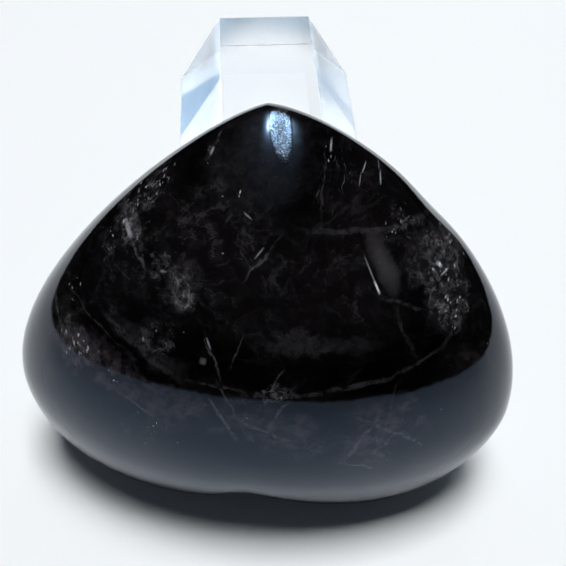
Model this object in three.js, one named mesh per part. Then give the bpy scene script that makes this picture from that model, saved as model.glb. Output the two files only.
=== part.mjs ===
// A polished puffed heart of smoky quartz, standing on its two lobes with the tip up
// and leaning back against the end of a clear bar with slanted sides that lies on the
// table.
// Units are millimetres. +Z is up and the heart's face looks along -Y.

import * as THREE from "three";
import { mergeVertices } from "three/addons/utils/BufferGeometryUtils.js";

// ---- the heart's driving sizes, in the plane of its outline ----
const HEART_THICKNESS = 22;      // face to face at the middle
const TIP_HEIGHT = 23.3;         // from the middle of the face up to the tip
const LOBE_DEPTH = 16.7;         // from the middle of the face down to the lobes
const CLEFT_RISE = 5;            // how far the cleft climbs above the lobes
const CLEFT_ANGLE = 45;          // degrees between the cleft's walls and the centre line
const CLEFT_WALL_PULL = 4;       // how straight the cleft's walls leave its bottom
const CLEFT_LOBE_PULL = 5;       // how round each lobe turns into the cleft

// The stone is hand cut, so its two halves differ a little.
const LEFT_HALF = {
  side: -1,
  width: 21.9,                   // centre line to the widest point
  widestDrop: 3.3,               // widest point below the middle
  lobeOffset: 8.1,               // centre line to the lowest point of the lobe
  tipAngle: 73,                  // degrees between the centre line and the edge at the tip
  tipPull: 5.6,                  // roundness of the edge as it leaves the tip
  shoulderPull: 10.5,            // fullness above the widest point
  flankPull: 6.4,                // fullness below the widest point
  lobePull: 8.2,                 // fullness of the lobe's outer corner
};
const RIGHT_HALF = {
  side: 1,
  width: 23.1,
  widestDrop: 3.4,
  lobeOffset: 10.1,
  tipAngle: 87,
  tipPull: 7.3,
  shoulderPull: 13.7,
  flankPull: 5,
  lobePull: 7.5,
};

// The middle of each face swells as a smooth egg, and its rings turn into the heart's
// outline towards the edge.
const EGG_MIDDLE = 17.9;         // how far it reaches up and down on average
const EGG_SWING = 1.1;           // how much further towards the tip, and less to the lobes
const EGG_SIDE = 21;             // how far it reaches sideways
const OUTLINE_ONSET = 3;         // power of the change from egg to heart outline

const HEART_LEAN = 16;           // degrees that the heart leans back from upright

// ---- the clear bar's driving sizes ----
const BAR_THICKNESS = 10.35;
const BAR_TOP_WIDTH = 12.6;      // the flat top, between the two slanted sides
const BAR_BASE_WIDTH = 25.3;
const BAR_LENGTH = 50.2;
const BAR_END_BEVEL_DEPTH = 0.3; // how far the end bevels cut in from the sides
const BAR_END_BEVEL_RUN = 0.3;   // how far they run along the bar
const BAR_TURN = 8.5;            // degrees that the bar is turned in plan
const BAR_OFFSET = 3.4;          // where the bar's axis would pass beside the heart's centre

// ---- fit and fineness ----
const REST_GAP = 0.3;            // clearance between the heart's back and the bar's end
const STEPS_PER_CURVE = 10;      // outline steps on each of the six curves
const RINGS = 30;                // steps from the front face to the back face
const REACH_STEPS = 12;          // feeler rows and columns across the bar's end

const HEART_MATERIAL = new THREE.MeshStandardMaterial({
  color: 0x120e10,
  roughness: 0.06,
  metalness: 0,
});
const BAR_MATERIAL = new THREE.MeshStandardMaterial({
  color: 0xf2f6f8,
  roughness: 0.03,
  metalness: 0,
  transparent: true,
  opacity: 0.35,
});

const radians = THREE.MathUtils.degToRad;

// Half of the outline as three curves, from the tip round the side and lobe to the cleft.
function halfOutline(half) {
  const point = (x, y) => new THREE.Vector2(half.side * x, y);
  const tipTurn = radians(half.tipAngle);
  const cleftTurn = radians(CLEFT_ANGLE);
  const cleftHeight = CLEFT_RISE - LOBE_DEPTH;
  const tip = point(0, TIP_HEIGHT);
  const widest = point(half.width, -half.widestDrop);
  const lobe = point(half.lobeOffset, -LOBE_DEPTH);
  const cleft = point(0, cleftHeight);
  const offTip = point(
    half.tipPull * Math.sin(tipTurn),
    TIP_HEIGHT - half.tipPull * Math.cos(tipTurn),
  );
  const shoulder = point(half.width, half.shoulderPull - half.widestDrop);
  const flank = point(half.width, -half.flankPull - half.widestDrop);
  const lobeOuter = point(half.lobeOffset + half.lobePull, -LOBE_DEPTH);
  const lobeInner = point(half.lobeOffset - CLEFT_LOBE_PULL, -LOBE_DEPTH);
  const cleftWall = point(
    CLEFT_WALL_PULL * Math.sin(cleftTurn),
    cleftHeight - CLEFT_WALL_PULL * Math.cos(cleftTurn),
  );
  return [
    new THREE.CubicBezierCurve(tip, offTip, shoulder, widest),
    new THREE.CubicBezierCurve(widest, flank, lobeOuter, lobe),
    new THREE.CubicBezierCurve(lobe, lobeInner, cleftWall, cleft),
  ];
}

// The whole outline, from the tip down the left side and back up the right side.
function heartOutline() {
  const path = new THREE.CurvePath();
  for (const curve of halfOutline(LEFT_HALF)) {
    path.add(curve);
  }
  for (const curve of halfOutline(RIGHT_HALF).reverse()) {
    path.add(new THREE.CubicBezierCurve(curve.v3, curve.v2, curve.v1, curve.v0));
  }
  return path.getPoints(STEPS_PER_CURVE);
}

// The point of the egg that lies in the same direction as a point of the outline.
function eggPoint(edge) {
  const length = edge.length();
  const reach = EGG_MIDDLE + (EGG_SWING * edge.y) / length;
  return new THREE.Vector2((EGG_SIDE * edge.x) / length, (reach * edge.y) / length);
}

// A sphere whose rings are drawn out to the heart's outline: the poles are the middles
// of the two faces, and each column of vertices runs to one point of the outline.
function heartGeometry() {
  const outline = heartOutline();
  const columns = outline.length - 1;
  const sphere = new THREE.SphereGeometry(1, columns, RINGS);
  const position = sphere.getAttribute("position");
  for (let i = 0; i < position.count; i += 1) {
    const edge = outline[i % (columns + 1)];
    const turn = (Math.PI * Math.floor(i / (columns + 1))) / RINGS;
    const spread = Math.sin(turn);
    const ring = eggPoint(edge).lerp(edge, spread ** OUTLINE_ONSET);
    ring.multiplyScalar(spread);
    position.setXYZ(i, ring.x, ring.y, 0.5 * HEART_THICKNESS * Math.cos(turn));
  }
  sphere.deleteAttribute("normal");
  sphere.deleteAttribute("uv");
  return mergeVertices(sphere);
}

// The heart leans back and stands on its lobes.
function makeHeart() {
  const heart = new THREE.Mesh(heartGeometry(), HEART_MATERIAL);
  heart.name = "heart_stone";
  heart.rotation.x = radians(90 - HEART_LEAN);
  const box = new THREE.Box3().setFromObject(heart, true);
  heart.position.z = -box.min.z;
  heart.updateMatrixWorld();
  return heart;
}

// The bar's section: a flat underside, two slanted sides and a narrower flat top.
function barSection() {
  return new THREE.Shape([
    new THREE.Vector2(0.5 * BAR_BASE_WIDTH, 0),
    new THREE.Vector2(0.5 * BAR_TOP_WIDTH, BAR_THICKNESS),
    new THREE.Vector2(-0.5 * BAR_TOP_WIDTH, BAR_THICKNESS),
    new THREE.Vector2(-0.5 * BAR_BASE_WIDTH, 0),
  ]);
}

// The bar's solid, with its near end at y = 0 and its length along +Y.
function barGeometry() {
  const bar = new THREE.ExtrudeGeometry(barSection(), {
    depth: BAR_LENGTH - 2 * BAR_END_BEVEL_RUN,
    bevelEnabled: true,
    bevelThickness: BAR_END_BEVEL_RUN,
    bevelSize: BAR_END_BEVEL_DEPTH,
    bevelOffset: -BAR_END_BEVEL_DEPTH,
    bevelSegments: 1,
  });
  bar.rotateX(0.5 * Math.PI);
  bar.translate(0, BAR_LENGTH - BAR_END_BEVEL_RUN, 0);
  return bar;
}

// How far the heart's back reaches along the bar, felt by rays across the bar's end.
function heartReach(heart, axis, across) {
  const far = BAR_LENGTH + HEART_THICKNESS;
  const feeler = new THREE.Raycaster();
  let reach = -far;
  for (let row = 0; row <= REACH_STEPS; row += 1) {
    const share = row / REACH_STEPS;
    const height = share * (BAR_THICKNESS - BAR_END_BEVEL_DEPTH);
    const half = 0.5 * THREE.MathUtils.lerp(BAR_BASE_WIDTH, BAR_TOP_WIDTH, share);
    for (let column = 0; column <= REACH_STEPS; column += 1) {
      const side = half * ((2 * column) / REACH_STEPS - 1);
      const start = new THREE.Vector3(BAR_OFFSET, 0, height);
      start.addScaledVector(across, side);
      start.addScaledVector(axis, far);
      feeler.set(start, axis.clone().negate());
      for (const hit of feeler.intersectObject(heart)) {
        reach = Math.max(reach, far - hit.distance);
      }
    }
  }
  return reach;
}

// The bar lies on its wide underside behind the heart, its near end just off the heart's back.
function makeBar(heart) {
  const turn = radians(BAR_TURN);
  const axis = new THREE.Vector3(-Math.sin(turn), Math.cos(turn), 0);
  const across = new THREE.Vector3(Math.cos(turn), Math.sin(turn), 0);
  const bar = new THREE.Mesh(barGeometry(), BAR_MATERIAL);
  bar.name = "clear_bar";
  bar.rotation.z = turn;
  bar.position.set(BAR_OFFSET, 0, 0);
  bar.position.addScaledVector(axis, heartReach(heart, axis, across) + REST_GAP);
  return bar;
}

// Both pieces, moved so that the origin is under the middle of the whole.
function makeDisplay() {
  const heart = makeHeart();
  const bar = makeBar(heart);
  const display = new THREE.Group();
  display.add(heart, bar);
  const box = new THREE.Box3().setFromObject(display, true);
  const middle = box.getCenter(new THREE.Vector3());
  display.position.set(-middle.x, -middle.y, 0);
  display.updateMatrixWorld(true);
  return display;
}

export default makeDisplay();
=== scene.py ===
"""A polished puffed heart of smoky quartz, leaning back on the end of a clear bar."""

import math

import bmesh
import bpy
import numpy as np
from mathutils import Matrix, Vector


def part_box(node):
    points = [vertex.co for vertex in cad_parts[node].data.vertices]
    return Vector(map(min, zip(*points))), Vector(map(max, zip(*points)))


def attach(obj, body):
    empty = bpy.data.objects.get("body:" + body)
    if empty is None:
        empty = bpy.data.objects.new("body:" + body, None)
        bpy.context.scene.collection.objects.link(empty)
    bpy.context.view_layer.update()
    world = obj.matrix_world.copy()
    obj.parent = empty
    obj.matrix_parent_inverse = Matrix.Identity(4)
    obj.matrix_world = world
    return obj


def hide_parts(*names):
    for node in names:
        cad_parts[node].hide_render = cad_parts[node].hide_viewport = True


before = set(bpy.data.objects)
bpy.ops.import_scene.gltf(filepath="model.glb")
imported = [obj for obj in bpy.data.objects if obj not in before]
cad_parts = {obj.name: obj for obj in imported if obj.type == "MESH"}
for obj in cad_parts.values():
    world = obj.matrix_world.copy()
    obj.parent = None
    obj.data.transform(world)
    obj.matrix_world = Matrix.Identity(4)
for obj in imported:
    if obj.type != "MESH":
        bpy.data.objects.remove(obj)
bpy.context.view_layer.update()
heart_low, heart_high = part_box("heart_stone")
bar_low, bar_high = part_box("clear_bar")

MM = 0.001

# ---- heart, in millimetres in the plane of its outline ----
HEART_THICKNESS = 22.0
TIP_HEIGHT = 23.3
LOBE_DEPTH = 16.7
CLEFT_RISE = 5.0
CLEFT_ANGLE = 45.0
CLEFT_WALL_PULL = 4.0
CLEFT_LOBE_PULL = 5.0
LEFT_HALF = dict(
    side=-1, width=21.9, widest_drop=3.3, lobe_offset=8.1, tip_angle=73.0,
    tip_pull=5.6, shoulder_pull=10.5, flank_pull=6.4, lobe_pull=8.2,
)
RIGHT_HALF = dict(
    side=1, width=23.1, widest_drop=3.4, lobe_offset=10.1, tip_angle=87.0,
    tip_pull=7.3, shoulder_pull=13.7, flank_pull=5.0, lobe_pull=7.5,
)
EGG_MIDDLE = 17.9
EGG_SWING = 1.1
EGG_SIDE = 21.0
OUTLINE_ONSET = 3.0
HEART_LEAN = 16.0
WORN_FLAT_MIDDLE = (14.3, 16.4, -0.5)
WORN_FLAT_SPREAD = 2.2
WORN_FLAT_DEPTH = 0.3
STEPS_PER_CURVE = 56
RINGS = 200
ROUGH_STEPS_PER_CURVE = 24       # enough to find the heart's box
ROUGH_RINGS = 90

# ---- clear bar, in millimetres ----
BAR_THICKNESS = 10.35
BAR_TOP_WIDTH = 12.6
BAR_BASE_WIDTH = 25.3
BAR_LENGTH = 50.2
BAR_TURN = 8.5
BAR_ARRIS = 0.14
# The bar carries painted reflections: a grey one across the far end of its flat top, and a blue
# one on each slanted side.
PAINTED_REFLECTION_RUN = 7.5              # from the far end back along the flat top
PAINTED_REFLECTION_BOW = 0.42             # how much of that run earlier it starts at the edges
FACET_REFLECTION_START = 11.6               # from the bar's middle towards its far end
FACET_REFLECTION_TOP_END = 13.3             # where the painted blue reflections end beside the flat top
LEFT_REFLECTION_SLOPE = 8.0           # how much further each one reaches at the base
RIGHT_REFLECTION_SLOPE = 3.4
RIGHT_REFLECTION_SHARE = 0.6          # how strong it is, against the left one

# ---- the stone's colours and polish ----
CLEAN_STONE = (0.0004, 0.0003, 0.0004, 1)
CLOUDED_STONE = (0.0030, 0.0023, 0.0025, 1)
VEIL_COLOUR = (0.150, 0.142, 0.152, 1)
LOW_VEIL_COLOUR = (0.052, 0.043, 0.053, 1)
SPARKLE_COLOUR = (0.62, 0.66, 0.72, 1)
SHEEN_TINT = (0.58, 0.77, 1.0, 1)
QUARTZ_IOR = 1.54
QUARTZ_SHINE = 0.38
FINE_POLISH = 0.05
TIP_POLISH = 0.24
POLISH_WAVES = 0.02
PIT_DEPTH = 0.10

# ---- the bar's colours and polish ----
GLASS_IOR = 1.49
GLASS_COLOUR = (0.985, 0.993, 1.0, 1)
# Colours of the bar's painted reflections: grey on the far end of the top, blue on the slanted
# sides.
PAINTED_REFLECTION_GREY = (0.25, 0.35, 0.44, 1)
PAINTED_FACET_BLUE = (0.14, 0.27, 0.42, 1)
SATIN_SIDES = 0.22
HANDLING_HAZE = 0.05

# ---- stage: places and sizes in metres, power in watts ----
FLOOR_COLOUR = (0.80, 0.822, 0.842)
FLOOR_SIZE = 8.0
FLOOR_DROP = 0.00008             # keeps the floor clear of the bar's underside
SURROUND_LIFT = 0.0003
SURROUND_INNER = 0.002
SURROUND_OUTER = 3.5
SURROUND_STEPS = 96
SURROUND_COLOUR = (0.60, 0.66, 0.78, 1)
SURROUND_DARK = (0.004, 0.004, 0.005, 1)
SKY_COLOUR = (0.74, 0.87, 1.0, 1)
SKY_STRENGTH = 0.06
SKY_THROUGH_GLASS = 1.85
MIRRORED_ROOM = (0.012, 0.012, 0.014, 1)
BOX_PLACE = (0.025, 0.01, 0.74)
BOX_SIZE = (0.24, 0.24)
BOX_POWER = 6.05
BOX_COLOUR = (0.995, 0.995, 0.99)
STRIP_PLACE = (0.055, 0.235, 0.455)
STRIP_SIZE = (0.046, 0.26)
STRIP_POWER = 22.0
STRIP_COLOUR = (0.62, 0.80, 1.0)
LIGHTS_AIM = (0, 0, 0.015)

# ---- where the pale table ends in the stone's reflections, in metres from the stone ----
FADE_FROM = 0.040
FADE_SHARE = 0.30
DARK_FROM = 0.090
DARK_FULL = 0.104
LANE_BEHIND = (0.055, 0.075)
LANE_SIDES = (0.06, 0.08)
BLUISH_FRONT = (-0.03, 0.005)

# ---- camera, from the middle of the heart, in millimetres and degrees ----
CAMERA_OFFSET = (4.47, -39.75, 60.76)
CAMERA_DOWN = 52.0
CAMERA_TURN = 3.56
CAMERA_ROLL = 1.7
CAMERA_LENS = 50.88


# ------------------------------------------------------------------ camera

def heart_tilt():
    """Turns the plane of the outline up to the heart's leaning stance."""
    return Matrix.Rotation(math.radians(90 - HEART_LEAN), 3, "X")


def heart_middle():
    """The middle of the heart's outline, from the sides of its CAD box."""
    surface = heart_surface(ROUGH_STEPS_PER_CURVE, ROUGH_RINGS)[0]
    surface = surface @ np.array(heart_tilt()).T
    along = heart_low.x + LEFT_HALF["width"] * MM
    back = heart_low.y - surface[:, 1].min() * MM
    return Vector((along, back, heart_low.z - surface[:, 2].min() * MM))


def make_camera(middle):
    """Looks down on the heart's face from close by."""
    down = math.radians(CAMERA_DOWN)
    forward = Vector((0, math.cos(down), -math.sin(down)))
    upward = Vector((0, math.sin(down), math.cos(down)))
    right = Vector((1, 0, 0))
    turn = Matrix.Rotation(math.radians(CAMERA_TURN), 3, "Z")
    forward, upward, right = turn @ forward, turn @ upward, turn @ right
    roll = math.radians(CAMERA_ROLL)
    rolled_right = right * math.cos(roll) + upward * math.sin(roll)
    rolled_up = upward * math.cos(roll) - right * math.sin(roll)
    axes = Matrix((rolled_right, rolled_up, -forward)).transposed().to_4x4()
    camera = bpy.data.objects.new("camera", bpy.data.cameras.new("camera"))
    camera.data.lens = CAMERA_LENS
    camera.data.clip_start = 0.005
    camera.data.clip_end = 20
    camera.matrix_world = Matrix.Translation(middle + Vector(CAMERA_OFFSET) * MM) @ axes
    bpy.context.scene.collection.objects.link(camera)
    bpy.context.scene.camera = camera


# ------------------------------------------------------------------ heart

def bezier(start, leave, arrive, end, steps):
    """Points of a cubic curve, without its last one."""
    t = np.linspace(0, 1, steps, endpoint=False)[:, None]
    near, far = 1 - t, t
    return near**3 * start + 3 * near**2 * far * leave + 3 * near * far**2 * arrive + far**3 * end


def half_outline(half, steps):
    """Half of the outline, from the tip round the side and the lobe to the cleft."""
    tip_turn = math.radians(half["tip_angle"])
    cleft_turn = math.radians(CLEFT_ANGLE)
    cleft_height = CLEFT_RISE - LOBE_DEPTH
    drop = half["widest_drop"]
    tip = np.array([0, TIP_HEIGHT])
    off_tip = tip + half["tip_pull"] * np.array([math.sin(tip_turn), -math.cos(tip_turn)])
    widest = np.array([half["width"], -drop])
    shoulder = np.array([half["width"], half["shoulder_pull"] - drop])
    flank = np.array([half["width"], -half["flank_pull"] - drop])
    lobe = np.array([half["lobe_offset"], -LOBE_DEPTH])
    lobe_outer = lobe + [half["lobe_pull"], 0]
    lobe_inner = lobe - [CLEFT_LOBE_PULL, 0]
    cleft = np.array([0, cleft_height])
    wall = np.array([math.sin(cleft_turn), -math.cos(cleft_turn)])
    points = np.concatenate([
        bezier(tip, off_tip, shoulder, widest, steps),
        bezier(widest, flank, lobe_outer, lobe, steps),
        bezier(lobe, lobe_inner, cleft + CLEFT_WALL_PULL * wall, cleft, steps),
        cleft[None],
    ])
    return points * [half["side"], 1]


def heart_surface(steps, rings):
    """Points of the heart in millimetres: the front pole, the rings, then the back pole."""
    left = half_outline(LEFT_HALF, steps)
    right = half_outline(RIGHT_HALF, steps)
    outline = np.concatenate([left, right[-2:0:-1]])
    angle = np.arctan2(outline[:, 1], outline[:, 0])
    reach = EGG_MIDDLE + EGG_SWING * np.sin(angle)
    egg = np.stack([EGG_SIDE * np.cos(angle), reach * np.sin(angle)], -1)
    turn = (np.arange(1, rings) * math.pi / rings)[:, None, None]
    spread = np.sin(turn)
    mix = spread**OUTLINE_ONSET
    plane = (egg * (1 - mix) + outline * mix) * spread
    height = np.broadcast_to(0.5 * HEART_THICKNESS * np.cos(turn), plane.shape[:2] + (1,))
    body = np.concatenate([plane, height], -1).reshape(-1, 3)
    pole = np.array([[0, 0, 0.5 * HEART_THICKNESS]])
    return np.concatenate([pole, body, -pole]), len(outline)


def heart_faces(columns, rings):
    """Quads between the rings, and a fan of triangles at each pole."""
    last = 1 + columns * (rings - 1)
    faces = []
    for column in range(columns):
        following = (column + 1) % columns
        faces.append((0, 1 + column, 1 + following))
        base = last - columns
        faces.append((last, base + following, base + column))
    for ring in range(rings - 2):
        base = 1 + ring * columns
        for column in range(columns):
            following = (column + 1) % columns
            faces.append((
                base + column, base + columns + column,
                base + columns + following, base + following,
            ))
    return faces


def wear_heart(points):
    """The small unevenness that hand grinding leaves: one flat by the right shoulder."""
    offset = points - np.array(WORN_FLAT_MIDDLE)
    bowl = np.exp(-(offset**2).sum(1) / (2 * WORN_FLAT_SPREAD**2))
    inward = -points / np.linalg.norm(points, axis=1)[:, None]
    return points + inward * (WORN_FLAT_DEPTH * bowl)[:, None]


def make_heart(middle):
    """The polished stone: a fine mesh, leaning back, its origin at the outline's middle."""
    points, columns = heart_surface(STEPS_PER_CURVE, RINGS)
    points = wear_heart(points)
    leaning = points @ np.array(heart_tilt()).T
    mesh = bpy.data.meshes.new("puffed_heart")
    mesh.from_pydata((leaning * MM).tolist(), [], heart_faces(columns, RINGS))
    mesh.validate()
    mesh.shade_smooth()
    heart = bpy.data.objects.new("puffed_heart", mesh)
    bpy.context.scene.collection.objects.link(heart)
    heart.location = middle
    heart.data.materials.append(smoky_quartz())
    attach(heart, "heart")
    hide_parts("heart_stone")


# ------------------------------------------------------------------ clear bar

def bar_corners(mesh, along):
    """The four corners of the bar's section at one place along it."""
    base, top = 0.5 * BAR_BASE_WIDTH, 0.5 * BAR_TOP_WIDTH
    section = [(base, 0), (top, BAR_THICKNESS), (-top, BAR_THICKNESS), (-base, 0)]
    return [mesh.verts.new((x * MM, along * MM, z * MM)) for x, z in section]


def make_bar():
    """The clear bar: flat underside, slanted sides, narrow flat top, every arris eased."""
    half = 0.5 * BAR_LENGTH
    mesh = bmesh.new()
    near = bar_corners(mesh, -half)
    far = bar_corners(mesh, half)
    for i in range(4):
        j = (i + 1) % 4
        mesh.faces.new((near[i], far[i], far[j], near[j]))
    mesh.faces.new(near)
    mesh.faces.new(reversed(far))
    bmesh.ops.recalc_face_normals(mesh, faces=mesh.faces)
    bmesh.ops.bevel(
        mesh, geom=mesh.edges[:], offset=BAR_ARRIS * MM, segments=4, profile=0.5,
        affect="EDGES", clamp_overlap=True,
    )
    mesh.transform(Matrix.Rotation(math.radians(BAR_TURN), 4, "Z"))
    data = bpy.data.meshes.new("clear_slanted_bar")
    mesh.to_mesh(data)
    mesh.free()
    bar = bpy.data.objects.new("clear_slanted_bar", data)
    bpy.context.scene.collection.objects.link(bar)
    centre = (bar_low + bar_high) / 2
    bar.location = (centre.x, centre.y, bar_low.z)
    bar.data.materials.append(clear_glass())
    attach(bar, "bar")
    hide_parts("clear_bar")
    # Clear as it is, the bar casts no shadow on the floor.
    bar.visible_shadow = False
    bar.visible_diffuse = False


# ------------------------------------------------------------------ materials

def new_material(name):
    """An empty node material holding one Principled shader."""
    material = bpy.data.materials.new(name)
    material.use_nodes = True
    tree = material.node_tree
    tree.nodes.clear()
    shader = tree.nodes.new("ShaderNodeBsdfPrincipled")
    output = tree.nodes.new("ShaderNodeOutputMaterial")
    tree.links.new(shader.outputs[0], output.inputs[0])
    return material, tree, shader


def plug(tree, value, socket):
    """Links a socket, or sets a plain value."""
    if isinstance(value, bpy.types.NodeSocket):
        tree.links.new(value, socket)
    else:
        socket.default_value = value


def maths(tree, operation, first, second=0.0, clamp=False):
    """One sum on numbers."""
    node = tree.nodes.new("ShaderNodeMath")
    node.operation = operation
    node.use_clamp = clamp
    plug(tree, first, node.inputs[0])
    plug(tree, second, node.inputs[1])
    return node.outputs[0]


def product(tree, *values):
    """All the values multiplied together."""
    total = values[0]
    for value in values[1:]:
        total = maths(tree, "MULTIPLY", total, value)
    return total


def sum_of(tree, *values):
    """All the values added together."""
    total = values[0]
    for value in values[1:]:
        total = maths(tree, "ADD", total, value)
    return total


def vector_maths(tree, operation, first, second):
    """One sum on vectors, whose result may be a number."""
    node = tree.nodes.new("ShaderNodeVectorMath")
    node.operation = operation
    plug(tree, first, node.inputs[0])
    plug(tree, second, node.inputs[1])
    gives_number = operation in ("DISTANCE", "DOT_PRODUCT")
    return node.outputs["Value" if gives_number else "Vector"]


def ramp(tree, value, low, high, start=0.0, end=1.0):
    """Smooth change from start to end while the value goes from low to high."""
    node = tree.nodes.new("ShaderNodeMapRange")
    node.interpolation_type = "SMOOTHSTEP"
    plug(tree, value, node.inputs["Value"])
    plug(tree, low, node.inputs["From Min"])
    plug(tree, high, node.inputs["From Max"])
    plug(tree, start, node.inputs["To Min"])
    plug(tree, end, node.inputs["To Max"])
    return node.outputs["Result"]


def noise(tree, place, scale, detail=3.0, roughness=0.55, distortion=0.0):
    """Cloudy noise from 0 to 1."""
    node = tree.nodes.new("ShaderNodeTexNoise")
    plug(tree, place, node.inputs["Vector"])
    plug(tree, scale, node.inputs["Scale"])
    node.inputs["Detail"].default_value = detail
    node.inputs["Roughness"].default_value = roughness
    node.inputs["Distortion"].default_value = distortion
    return node


def blend(tree, share, first, second):
    """Mixes two colours."""
    node = tree.nodes.new("ShaderNodeMix")
    node.data_type = "RGBA"
    plug(tree, share, node.inputs["Factor"])
    plug(tree, first, node.inputs["A"])
    plug(tree, second, node.inputs["B"])
    return node.outputs["Result"]


def new_group(name, inputs, outputs):
    """An empty node group with its sockets."""
    tree = bpy.data.node_groups.new(name, "ShaderNodeTree")
    for label, kind in inputs:
        tree.interface.new_socket(label, in_out="INPUT", socket_type=kind)
    for label, kind in outputs:
        tree.interface.new_socket(label, in_out="OUTPUT", socket_type=kind)
    start = tree.nodes.new("NodeGroupInput")
    end = tree.nodes.new("NodeGroupOutput")
    return tree, start.outputs, end.inputs


NUMBER = "NodeSocketFloat"
VECTOR = "NodeSocketVector"


def placed_mark_group(name, drawn_as_line):
    """One mark at a set place: a thin line, or a soft patch of the same reach."""
    tree, given, result = new_group(
        name, [("Position", VECTOR), ("Lengthwise", VECTOR), ("Crosswise", VECTOR)],
        [("Mask", NUMBER)],
    )
    along = vector_maths(tree, "DOT_PRODUCT", given["Position"], given["Lengthwise"])
    across = vector_maths(tree, "DOT_PRODUCT", given["Position"], given["Crosswise"])
    along = product(tree, along, along)
    across = product(tree, across, across)
    if drawn_as_line:
        kept_along = maths(tree, "SUBTRACT", 1.0, along, clamp=True)
        kept_across = maths(tree, "SUBTRACT", 1.0, across, clamp=True)
        mask = product(tree, kept_along, kept_across)
    else:
        mask = maths(tree, "SUBTRACT", 1.0, sum_of(tree, along, across), clamp=True)
    tree.links.new(mask, result["Mask"])
    return tree


def veil_group():
    """Thin wandering veils: the middle contour of a cloudy noise."""
    tree, given, result = new_group(
        "wandering_veil",
        [("Position", VECTOR), ("Scale", NUMBER), ("Width", NUMBER)],
        [("Mask", NUMBER)],
    )
    cloud = noise(tree, given["Position"], given["Scale"], 5.0, 0.6, 0.6)
    off_middle = maths(tree, "ABSOLUTE", maths(tree, "SUBTRACT", cloud.outputs[0], 0.5))
    tree.links.new(ramp(tree, off_middle, 0.0, given["Width"], 1.0, 0.0), result["Mask"])
    return tree


def speck_group():
    """Scattered bright specks, a set share of the cells of a pattern."""
    tree, given, result = new_group(
        "scattered_specks",
        [("Position", VECTOR), ("Scale", NUMBER), ("Size", NUMBER), ("Share", NUMBER)],
        [("Mask", NUMBER)],
    )
    cells = tree.nodes.new("ShaderNodeTexVoronoi")
    tree.links.new(given["Position"], cells.inputs["Vector"])
    tree.links.new(given["Scale"], cells.inputs["Scale"])
    near = ramp(tree, cells.outputs["Distance"], 0.0, given["Size"], 1.0, 0.0)
    chance = tree.nodes.new("ShaderNodeSeparateColor")
    tree.links.new(cells.outputs["Color"], chance.inputs[0])
    chosen = maths(tree, "LESS_THAN", chance.outputs[0], given["Share"])
    tree.links.new(product(tree, near, chosen), result["Mask"])
    return tree


def use_group(tree, group, **values):
    """Places one use of a group, its values named like its sockets."""
    node = tree.nodes.new("ShaderNodeGroup")
    node.node_tree = group
    for label, value in values.items():
        plug(tree, value, node.inputs[label.replace("_", " ").title()])
    return node.outputs


# Marks inside the stone, seen through its face: x to the right and y to the tip in mm,
# the turn in degrees, half the length, half the width and the brightness.

# Thin healed cracks, each frayed along its length.
HEALED_CRACKS = [
    (-2.7, 7.4, -70, 2.3, 0.11, 0.34),
    (-1.5, 3.6, -66, 2.4, 0.10, 0.30),
    (0.2, 0.2, -58, 1.8, 0.09, 0.16),
    (-0.9, 7.9, 75, 1.9, 0.09, 0.16),
    (2.0, 5.3, 72, 2.2, 0.11, 0.24),
    (0.6, 14.8, 52, 2.3, 0.10, 0.24),
    (9.0, 16.4, -5, 6.4, 0.22, 0.12),
    (11.0, 11.4, -24, 2.4, 0.20, 0.12),
    (11.6, 9.4, -62, 2.6, 0.20, 0.08),
    (11.2, 2.0, 84, 3.4, 0.14, 0.10),
    (11.0, -3.2, -72, 3.0, 0.12, 0.14),
    (13.6, -3.9, -22, 3.0, 0.09, 0.12),
    (6.6, -1.8, -26, 4.4, 0.10, 0.11),
    (-12.4, 7.8, -26, 3.2, 0.12, 0.12),
    (-16.2, 6.6, -58, 1.9, 0.14, 0.20),
    (-8.6, 6.9, -32, 4.4, 0.34, 0.10),
    (-3.5, 20.9, 62, 1.1, 0.16, 0.30),
    (-9.3, 13.9, -48, 2.0, 0.16, 0.34),
    (4.6, 19.4, -86, 2.2, 0.12, 0.12),
]
# A faint line that loops round the lower edge of the face.
LOOP_LINES = [
    (-2.4, 4.9, -4, 2.6, 0.22, 0.14),
    (3.0, 4.5, 2, 3.6, 0.28, 0.17),
    (8.4, 5.2, 9, 3.2, 0.26, 0.15),
    (12.8, 6.5, 24, 2.8, 0.24, 0.13),
    (15.6, 8.3, 52, 2.0, 0.20, 0.10),
]
# Low on the face the pale table is mirrored, and only the brighter veils show through it.
LOW_CRACKS = [
    (9.4, -0.2, 66, 3.2, 0.24, 0.60),
    (11.6, 0.3, -34, 3.6, 0.20, 0.45),
    (13.6, -1.2, -52, 1.8, 0.18, 0.45),
    (10.9, -1.6, 58, 2.4, 0.18, 0.36),
    (9.8, -3.9, -26, 2.0, 0.22, 0.45),
    (1.4, 0.9, -24, 3.4, 0.20, 0.40),
    (-1.8, 1.6, -60, 2.6, 0.18, 0.55),
    (2.4, 2.4, 64, 1.9, 0.16, 0.40),
    (-8.6, 1.4, -32, 2.2, 0.16, 0.32),
]
LOW_VEILS = [
    (9.8, -0.6, 60, 4.2, 3.0, 1.0),
    (12.0, 1.2, -30, 4.0, 2.2, 0.8),
    (2.0, 0.6, -20, 6.5, 2.8, 0.8),
    (-5.4, 1.8, 10, 4.6, 2.4, 0.7),
    (-10.8, 3.8, -30, 4.6, 2.6, 0.9),
    (-13.0, 4.6, 15, 3.2, 2.4, 1.0),
]
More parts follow.
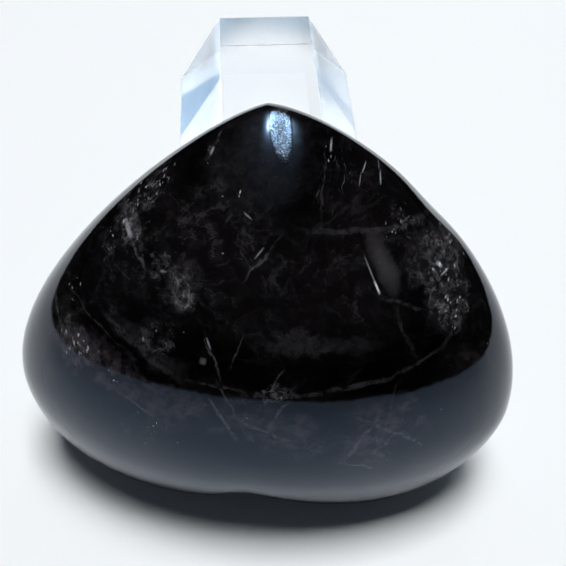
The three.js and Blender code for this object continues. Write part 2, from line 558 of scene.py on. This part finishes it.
# Short bright splinters just under the polish.
BRIGHT_SPLINTERS = [
    (9.15, 12.75, -62, 0.62, 0.09, 2.0),
    (8.6, 13.8, -62, 1.4, 0.07, 0.50),
    (4.95, 21.4, -88, 0.30, 0.10, 0.8),
    (7.5, 19.9, 58, 0.26, 0.07, 0.70),
    (7.25, 19.4, 84, 0.36, 0.05, 0.45),
    (8.6, 19.7, -70, 0.30, 0.05, 0.50),
    (8.8, 19.1, -82, 0.34, 0.07, 0.70),
    (-3.7, 20.6, 60, 0.28, 0.10, 0.6),
    (-3.0, 8.4, -70, 0.55, 0.09, 0.6),
    (0.4, 15.3, 52, 0.55, 0.08, 0.5),
    (-0.6, 17.6, -30, 0.40, 0.08, 0.45),
    (13.9, 13.2, -40, 0.40, 0.13, 0.9),
    (-3.4, 6.9, 80, 0.34, 0.30, 0.22),
    (14.4, 12.6, 20, 0.34, 0.11, 0.8),
    (-9.9, 14.5, -40, 0.60, 0.26, 0.55),
]
# Soft cloudy veils.
SOFT_VEILS = [
    (13.7, 13.6, -20, 2.6, 2.0, 0.34),
    (15.0, 10.4, -60, 3.2, 2.0, 0.20),
    (-5.2, 12.2, 65, 2.2, 1.6, 0.34),
    (-10.0, 14.6, -40, 2.0, 1.0, 0.50),
    (-14.2, 5.2, 8, 3.4, 2.0, 0.34),
    (-7.6, 7.0, -30, 4.0, 1.2, 0.24),
    (4.6, 8.9, -4, 5.4, 1.1, 0.26),
    (0.0, 20.4, 0, 4.6, 3.2, 0.14),
]
# Clusters of small glints.
GLINT_PATCHES = [
    (-8.8, 16.7, 45, 1.3, 0.8, 1.0),
    (-7.4, 18.0, 50, 1.0, 0.5, 0.9),
    (-11.4, 13.2, 60, 1.3, 0.5, 0.9),
    (-14.4, 9.2, 70, 1.4, 0.6, 0.8),
    (-2.7, 18.5, 0, 0.4, 0.3, 0.8),
    (-1.2, 18.8, -30, 0.7, 0.3, 0.8),
    (-4.0, 19.9, 60, 1.1, 0.4, 0.8),
    (9.9, 16.1, -35, 1.1, 0.4, 0.9),
    (13.9, 13.2, -50, 1.7, 0.9, 1.0),
    (15.2, 10.4, -70, 2.6, 1.3, 0.8),
    (-13.5, 5.5, 10, 2.3, 1.1, 1.0),
    (-7.5, 8.4, 40, 0.6, 0.4, 0.9),
    (-10.7, 4.7, -50, 0.5, 0.3, 1.0),
    (-8.2, 0.3, -20, 1.5, 0.5, 0.8),
    (-6.0, -1.9, 60, 0.5, 0.4, 0.8),
    (-10.2, 3.1, -20, 1.0, 0.4, 0.7),
    (-4.9, 9.5, 60, 0.9, 0.5, 0.7),
    (4.8, 20.9, -86, 1.2, 0.35, 0.9),
]
# Patches where curled threads and short ticks gather.
CURLED_PATCHES = [
    (13.9, 13.4, -25, 2.4, 1.7, 1.0),
    (15.2, 10.3, -60, 2.9, 1.6, 0.75),
    (-9.8, 14.5, -45, 1.9, 0.9, 1.0),
    (-5.2, 12.0, 70, 1.7, 1.1, 1.0),
    (-6.9, 13.4, 10, 1.4, 0.8, 0.7),
    (-13.9, 5.1, 5, 3.0, 1.7, 0.8),
    (-7.4, 8.2, 30, 1.6, 1.0, 0.6),
    (-8.5, 17.2, 50, 2.2, 1.0, 0.6),
    (10.8, 16.2, -25, 2.0, 0.8, 0.6),
    (2.0, 4.8, 20, 2.4, 1.2, 0.45),
    (11.2, -1.0, -80, 4.2, 1.3, 0.40),
    (-8.5, -1.2, -20, 2.2, 1.0, 0.40),
]

# Single patches, without a brightness of their own.
SMOOTH_FAN = (9.5, 14.2, -60, 2.8, 0.9)
SCRATCHED_PATCH = (5.4, 19.8, -82, 3.0, 1.5)
PITTED_POINT = (1.25, 22.5, -70, 1.9, 0.8)
DULL_TIP = (0.5, 21.6, -75, 5.5, 3.0)


def placed_mark(tree, group, place, x, y, turn, half_length, half_width):
    """One mark; the third part of each of its axes moves it from the origin to x, y."""
    cosine = math.cos(math.radians(turn))
    sine = math.sin(math.radians(turn))
    lengthwise = (cosine, sine, -(x * cosine + y * sine))
    crosswise = (-sine, cosine, x * sine - y * cosine)
    lengthwise = [part / half_length for part in lengthwise]
    crosswise = [part / half_width for part in crosswise]
    return use_group(
        tree, group, position=place, lengthwise=lengthwise, crosswise=crosswise)["Mask"]


def marks_mask(tree, place, group, marks):
    """The brightest of a list of placed marks."""
    total = 0.0
    for *shape, strength in marks:
        mask = placed_mark(tree, group, place, *shape)
        total = maths(tree, "MAXIMUM", total, product(tree, mask, strength))
    return total


def flattened(tree, place):
    """The place with its height made 1, as the placed marks want it."""
    return vector_maths(tree, "ADD", vector_maths(
        tree, "MULTIPLY", place, (1.0, 1.0, 0.0)), (0.0, 0.0, 1.0))


def heart_places(tree):
    """Places on the stone in mm: as cut, wobbled, and three kinds flattened on its face.

    Of the flattened ones, flat is wobbled, straight isn't, and ragged wanders furthest.
    """
    coordinates = tree.nodes.new("ShaderNodeTexCoord")
    upright = tree.nodes.new("ShaderNodeMapping")
    upright.inputs["Rotation"].default_value = (math.radians(HEART_LEAN - 90), 0, 0)
    upright.inputs["Scale"].default_value = (1 / MM, 1 / MM, 1 / MM)
    tree.links.new(coordinates.outputs["Object"], upright.inputs["Vector"])
    place = upright.outputs[0]
    wander = noise(tree, place, 0.55, 3.0)
    swing = vector_maths(tree, "SUBTRACT", wander.outputs["Color"], (0.5, 0.5, 0.5))
    wobbled = vector_maths(tree, "ADD", place, swing)
    flat = flattened(tree, wobbled)
    straight = flattened(tree, place)
    drift = noise(tree, place, 0.42, 4.0, 0.65)
    drift = vector_maths(tree, "SUBTRACT", drift.outputs["Color"], (0.5, 0.5, 0.5))
    ragged = vector_maths(tree, "ADD", straight, vector_maths(
        tree, "MULTIPLY", drift, (5.0, 5.0, 0.0)))
    return place, wobbled, flat, straight, ragged


def fine_lace(tree, veil, wobbled, milky):
    """Faint threads and haze all over the stone, strongest where it is milky."""
    coarse = use_group(tree, veil, position=wobbled, scale=0.13, width=0.022)["Mask"]
    fine = use_group(tree, veil, position=wobbled, scale=0.34, width=0.026)["Mask"]
    lace = sum_of(tree, product(tree, coarse, 0.16), product(tree, fine, 0.12))
    texture = noise(tree, wobbled, 0.8, 6.0, 0.7).outputs[0]
    lace = product(tree, lace, ramp(tree, texture, 0.38, 0.62, 0.1, 1.0))
    haze = product(tree, ramp(tree, texture, 0.42, 0.80), 0.10)
    return product(tree, sum_of(tree, lace, haze), sum_of(tree, milky, 0.08))


def soft_veils(tree, patch, flat, ragged, grain):
    """Soft mottled veils behind the face, and one smooth fan beside the long splinter."""
    soft = marks_mask(tree, ragged, patch, SOFT_VEILS)
    soft = product(tree, soft, ramp(tree, grain, 0.25, 0.75, 0.25, 1.0))
    fan = placed_mark(tree, patch, flat, *SMOOTH_FAN)
    return sum_of(tree, product(tree, soft, 0.42), product(tree, fan, 0.19))


def low_veils(tree, patch, ragged, wobbled, front):
    """Warm cloudy veils low on the face."""
    low = marks_mask(tree, ragged, patch, LOW_VEILS)
    mottle = ramp(tree, noise(tree, wobbled, 0.9, 6.0, 0.65).outputs[0], 0.32, 0.72)
    return product(tree, low, mottle, front)


def curled_threads(tree, veil, place, wobbled, grain, curled):
    """Curled threads that gather in a few patches."""
    threads = use_group(tree, veil, position=wobbled, scale=0.42, width=0.020)["Mask"]
    curls = use_group(tree, veil, position=place, scale=1.30, width=0.040)["Mask"]
    threads = sum_of(tree, threads, product(tree, curls, 0.35), product(tree, grain, 0.25))
    return product(tree, threads, ramp(tree, grain, 0.42, 0.66), curled, 1.25)


def frayed_cracks(tree, line, flat, grain):
    """Healed cracks, broken up and frayed."""
    cracks = marks_mask(tree, flat, line, HEALED_CRACKS + LOOP_LINES + LOW_CRACKS)
    return product(tree, cracks, ramp(tree, grain, 0.38, 0.58, 0.15, 1.0))


def bright_specks(tree, patch, place, wobbled, flat, curled, front):
    """Short ticks among the threads, clusters of glints, and a little dust everywhere."""
    speck = speck_group()
    leaning = vector_maths(tree, "MULTIPLY", place, (2.3, 0.95, 1.2))
    ticks = use_group(tree, speck, position=leaning, scale=1.0, size=0.30, share=0.30)["Mask"]
    ticks = product(tree, ticks, ramp(tree, curled, 0.15, 0.7))
    slanting = vector_maths(tree, "MULTIPLY", wobbled, (3.8, 2.4, 1.5))
    glints = use_group(tree, speck, position=slanting, scale=1.0, size=0.36, share=0.45)["Mask"]
    glinting = marks_mask(tree, flat, patch, GLINT_PATCHES)
    glints = product(tree, glints, ramp(tree, glinting, 0.05, 0.5))
    dust = use_group(tree, speck, position=wobbled, scale=0.9, size=0.12, share=0.12)["Mask"]
    return sum_of(
        tree, product(tree, sum_of(tree, ticks, glints), front, 0.8), product(tree, dust, 0.30))


def upright_scratches(tree, patch, wobbled, flat, front):
    """Fine upright scratches to the right of the tip."""
    upright = vector_maths(tree, "MULTIPLY", wobbled, (6.0, 1.1, 0.6))
    scratches = ramp(tree, noise(tree, upright, 1.0, 3.0).outputs[0], 0.60, 0.78)
    scratched = placed_mark(tree, patch, flat, *SCRATCHED_PATCH)
    return product(tree, scratches, scratched, 0.16, front)


def smoky_quartz():
    """Nearly black polished quartz, with veils, healed cracks and bright specks inside."""
    material, tree, shader = new_material("smoky_quartz")
    place, wobbled, flat, straight, ragged = heart_places(tree)
    parts = tree.nodes.new("ShaderNodeSeparateXYZ")
    tree.links.new(place, parts.inputs[0])
    front = ramp(tree, parts.outputs[2], -1.0, 2.0)      # 1 on the front half, 0 on the back
    line = placed_mark_group("placed_line", True)
    patch = placed_mark_group("placed_patch", False)
    veil = veil_group()

    # Broad cloudiness, stronger on the left, decides where the stone is veiled.
    cloud = noise(tree, place, 0.11, 3.0).outputs[0]
    left_half = ramp(tree, parts.outputs[0], -9.0, 3.0, 1.0, 0.30)
    milky = product(tree, ramp(tree, cloud, 0.42, 0.68), left_half)
    lace = fine_lace(tree, veil, wobbled, milky)

    grain = noise(tree, place, 1.6, 5.0, 0.7).outputs[0]
    curled = marks_mask(tree, ragged, patch, CURLED_PATCHES)
    inside = sum_of(
        tree, soft_veils(tree, patch, flat, ragged, grain),
        curled_threads(tree, veil, place, wobbled, grain, curled),
        frayed_cracks(tree, line, flat, grain))
    veiled = maths(tree, "ADD", lace, product(tree, inside, front), clamp=True)
    low = low_veils(tree, patch, ragged, wobbled, front)

    # The very point is pitted, and its grains catch the light.
    point = placed_mark(tree, patch, straight, *PITTED_POINT)
    point = product(tree, point, front)
    pit_grain = noise(tree, place, 7.0, 3.0, 0.7).outputs[0]
    grains = product(tree, ramp(tree, pit_grain, 0.50, 0.66), ramp(tree, point, 0.0, 0.7))
    sparkle = sum_of(
        tree, bright_specks(tree, patch, place, wobbled, flat, curled, front),
        upright_scratches(tree, patch, wobbled, flat, front), product(tree, grains, 0.42))
    splinters = product(tree, marks_mask(tree, straight, line, BRIGHT_SPLINTERS), front)
    bright = maths(
        tree, "ADD", product(tree, sparkle, 0.80), product(tree, splinters, 0.45), clamp=True)

    body = blend(tree, ramp(tree, cloud, 0.35, 0.65), CLEAN_STONE, CLOUDED_STONE)
    colour = blend(tree, veiled, body, VEIL_COLOUR)
    colour = blend(tree, low, colour, LOW_VEIL_COLOUR)
    colour = blend(tree, bright, colour, SPARKLE_COLOUR)
    tree.links.new(colour, shader.inputs["Base Color"])

    # The tip is polished less finely.
    dull = product(tree, placed_mark(tree, patch, flat, *DULL_TIP), front)
    roughness = ramp(tree, dull, 0.0, 0.8, FINE_POLISH, TIP_POLISH)
    tree.links.new(roughness, shader.inputs["Roughness"])
    shader.inputs["IOR"].default_value = QUARTZ_IOR
    shader.inputs["Specular IOR Level"].default_value = QUARTZ_SHINE
    shader.inputs["Specular Tint"].default_value = SHEEN_TINT

    waves = product(tree, noise(tree, place, 0.35, 2.0).outputs[0], POLISH_WAVES)
    height = sum_of(tree, waves, product(tree, point, pit_grain, PIT_DEPTH))
    bump = tree.nodes.new("ShaderNodeBump")
    bump.inputs["Distance"].default_value = MM
    tree.links.new(height, bump.inputs["Height"])
    tree.links.new(bump.outputs[0], shader.inputs["Normal"])
    return material


def far_end_painted_reflection(tree, along, sideways, height):
    """A painted grey reflection on the flat top that gathers in the corners of the far end."""
    reflection_start = 0.5 * BAR_LENGTH - PAINTED_REFLECTION_RUN
    inward = maths(tree, "DIVIDE", maths(tree, "SUBTRACT", along, reflection_start), PAINTED_REFLECTION_RUN)
    share = maths(tree, "DIVIDE", sideways, 0.5 * BAR_TOP_WIDTH)
    bow = product(tree, share, share, PAINTED_REFLECTION_BOW)
    on_top = ramp(tree, height, BAR_THICKNESS - 0.3, BAR_THICKNESS - 0.1)
    return product(tree, ramp(tree, sum_of(tree, inward, bow), 0.05, 1.10), on_top)


def painted_side_reflection(tree, along, sideways, off_middle, on_side):
    """A dull blue painted reflection on each slanted side, wider at the base, and paler on the
    right.
    """
    down_side = maths(tree, "SUBTRACT", off_middle, 0.5 * BAR_TOP_WIDTH)
    down_side = maths(tree, "DIVIDE", down_side, 0.5 * (BAR_BASE_WIDTH - BAR_TOP_WIDTH))
    on_left = maths(tree, "LESS_THAN", sideways, 0.0)
    extra_slope = LEFT_REFLECTION_SLOPE - RIGHT_REFLECTION_SLOPE
    slope = sum_of(tree, product(tree, on_left, extra_slope), RIGHT_REFLECTION_SLOPE)
    reflection_end = sum_of(tree, product(tree, down_side, slope), FACET_REFLECTION_TOP_END)
    room_left = maths(tree, "SUBTRACT", reflection_end, along)
    started = ramp(tree, along, FACET_REFLECTION_START - 0.3, FACET_REFLECTION_START + 0.3)
    strength = sum_of(tree, product(tree, on_left, 1 - RIGHT_REFLECTION_SHARE), RIGHT_REFLECTION_SHARE)
    return product(tree, ramp(tree, room_left, 0.0, 0.9), started, on_side, strength)


def clear_glass():
    """Clear bar, very faintly blue, with satin sides, a little handling haze, and painted
    reflections on the far end of its top and on its slanted sides.
    """
    material, tree, shader = new_material("clear_glass")
    coordinates = tree.nodes.new("ShaderNodeTexCoord")
    along_bar = tree.nodes.new("ShaderNodeMapping")
    along_bar.inputs["Rotation"].default_value = (0, 0, math.radians(-BAR_TURN))
    along_bar.inputs["Scale"].default_value = (1 / MM, 1 / MM, 1 / MM)
    tree.links.new(coordinates.outputs["Object"], along_bar.inputs["Vector"])
    parts = tree.nodes.new("ShaderNodeSeparateXYZ")
    tree.links.new(along_bar.outputs[0], parts.inputs[0])
    sideways, along, height = parts.outputs
    off_middle = maths(tree, "ABSOLUTE", sideways)
    half_top = 0.5 * BAR_TOP_WIDTH
    past_top = ramp(tree, off_middle, half_top + 0.05, half_top + 0.35)
    on_side = product(tree, past_top, ramp(tree, height, 0.1, 0.4))

    smear = noise(tree, coordinates.outputs["Object"], 160.0, 3.0).outputs[0]
    smear = ramp(tree, smear, 0.45, 0.8, 0.0, HANDLING_HAZE)
    roughness = sum_of(tree, product(tree, on_side, SATIN_SIDES), smear)
    tree.links.new(roughness, shader.inputs["Roughness"])

    # Painted reflections tint the glass: grey on the far end of the top, blue on the slanted
    # sides.
    painted_grey = far_end_painted_reflection(tree, along, sideways, height)
    tint = blend(tree, painted_grey, GLASS_COLOUR, PAINTED_REFLECTION_GREY)
    reflection_patch = painted_side_reflection(tree, along, sideways, off_middle, on_side)
    tint = blend(tree, reflection_patch, tint, PAINTED_FACET_BLUE)
    tree.links.new(tint, shader.inputs["Base Color"])
    shader.inputs["IOR"].default_value = GLASS_IOR
    shader.inputs["Transmission Weight"].default_value = 1.0
    return material


# ------------------------------------------------------------------ stage

def pale_floor():
    """Plain matt floor."""
    material, tree, shader = new_material("pale_floor")
    shader.inputs["Base Color"].default_value = (*FLOOR_COLOUR, 1)
    shader.inputs["Roughness"].default_value = 0.9
    shader.inputs["Specular IOR Level"].default_value = 0.1
    return material


def dark_room():
    """Bluish before the stone, black further out, and clear in a lane straight behind it."""
    material, tree, shader = new_material("dark_room")
    shader.inputs["Roughness"].default_value = 1.0
    shader.inputs["Specular IOR Level"].default_value = 0.0
    coordinates = tree.nodes.new("ShaderNodeTexCoord")
    radius = vector_maths(tree, "DISTANCE", coordinates.outputs["Object"], (0, 0, 0))
    parts = tree.nodes.new("ShaderNodeSeparateXYZ")
    tree.links.new(coordinates.outputs["Object"], parts.inputs[0])
    sideways = maths(tree, "ABSOLUTE", parts.outputs[0])
    lane = product(
        tree, ramp(tree, parts.outputs[1], *LANE_BEHIND),
        ramp(tree, sideways, *LANE_SIDES, 1.0, 0.0))
    fading = ramp(tree, radius, FADE_FROM, DARK_FROM, 0.0, FADE_SHARE)
    dark = maths(tree, "MAXIMUM", fading, ramp(tree, radius, DARK_FROM, DARK_FULL))
    dark = product(tree, dark, maths(tree, "SUBTRACT", 1.0, lane))
    colour = blend(tree, dark, SURROUND_COLOUR, SURROUND_DARK)
    tree.links.new(colour, shader.inputs["Base Color"])
    bluish_front = ramp(tree, parts.outputs[1], *BLUISH_FRONT, 1.0, 0.0)
    tree.links.new(maths(tree, "MAXIMUM", dark, bluish_front), shader.inputs["Alpha"])
    return material


def ring_mesh(name, inner, outer, steps):
    """A flat ring of quads."""
    mesh = bmesh.new()
    rims = []
    for radius in (inner, outer):
        rims.append([
            mesh.verts.new((radius * math.cos(a), radius * math.sin(a), 0))
            for a in np.linspace(0, 2 * math.pi, steps, endpoint=False)
        ])
    for i in range(steps):
        j = (i + 1) % steps
        mesh.faces.new((rims[0][i], rims[1][i], rims[1][j], rims[0][j]))
    data = bpy.data.meshes.new(name)
    mesh.to_mesh(data)
    mesh.free()
    return bpy.data.objects.new(name, data)


def make_floor():
    """A plain pale floor, and a dark surround that only the polished stone reflects."""
    bpy.ops.mesh.primitive_plane_add(size=FLOOR_SIZE, location=(0, 0, -FLOOR_DROP))
    floor = bpy.context.object
    floor.name = "floor"
    floor.data.materials.append(pale_floor())
    surround = ring_mesh("dark_surround", SURROUND_INNER, SURROUND_OUTER, SURROUND_STEPS)
    surround.location = (0, (heart_low.y + heart_high.y) / 2, SURROUND_LIFT)
    bpy.context.scene.collection.objects.link(surround)
    surround.data.materials.append(dark_room())
    surround.visible_camera = False
    surround.visible_diffuse = False
    surround.visible_transmission = False
    surround.visible_shadow = False


def make_world():
    """Pale all round, brighter through the bar, and dark where a polished face mirrors it."""
    world = bpy.data.worlds.new("studio")
    bpy.context.scene.world = world
    world.use_nodes = True
    tree = world.node_tree
    tree.nodes.clear()
    path = tree.nodes.new("ShaderNodeLightPath")
    mirrored = product(
        tree, path.outputs["Is Glossy Ray"], path.outputs["Is Reflection Ray"])
    pale = tree.nodes.new("ShaderNodeBackground")
    pale.inputs["Color"].default_value = SKY_COLOUR
    straight = maths(tree, "LESS_THAN", path.outputs["Diffuse Depth"], 0.5)
    through_glass = product(tree, straight, path.outputs["Is Transmission Ray"])
    strength = sum_of(tree, product(tree, through_glass, SKY_THROUGH_GLASS), SKY_STRENGTH)
    tree.links.new(strength, pale.inputs["Strength"])
    dark = tree.nodes.new("ShaderNodeBackground")
    dark.inputs["Color"].default_value = MIRRORED_ROOM
    mix = tree.nodes.new("ShaderNodeMixShader")
    output = tree.nodes.new("ShaderNodeOutputWorld")
    tree.links.new(mirrored, mix.inputs[0])
    tree.links.new(pale.outputs[0], mix.inputs[1])
    tree.links.new(dark.outputs[0], mix.inputs[2])
    tree.links.new(mix.outputs[0], output.inputs[0])


def soft_light(name, place, size, power, colour):
    """A rectangular soft box aimed at the heart, which no polished face mirrors."""
    data = bpy.data.lights.new(name, "AREA")
    data.shape = "RECTANGLE"
    data.size, data.size_y = size
    data.energy = power
    data.color = colour
    light = bpy.data.objects.new(name, data)
    bpy.context.scene.collection.objects.link(light)
    light.location = place
    aim = Vector(LIGHTS_AIM) - Vector(place)
    light.rotation_euler = aim.to_track_quat("-Z", "Y").to_euler()
    light.visible_glossy = False
    return light


def make_lights():
    """A broad soft box overhead, and a narrow strip that only polished faces mirror."""
    soft_light("overhead_box", BOX_PLACE, BOX_SIZE, BOX_POWER, BOX_COLOUR)
    strip = soft_light("tip_strip", STRIP_PLACE, STRIP_SIZE, STRIP_POWER, STRIP_COLOUR)
    strip.visible_glossy = True
    strip.visible_diffuse = False
    strip.visible_transmission = False


# ------------------------------------------------------------------ build

bpy.context.scene.view_settings.view_transform = "Standard"
middle = heart_middle()
make_camera(middle)
make_heart(middle)
make_bar()
make_floor()
make_world()
make_lights()
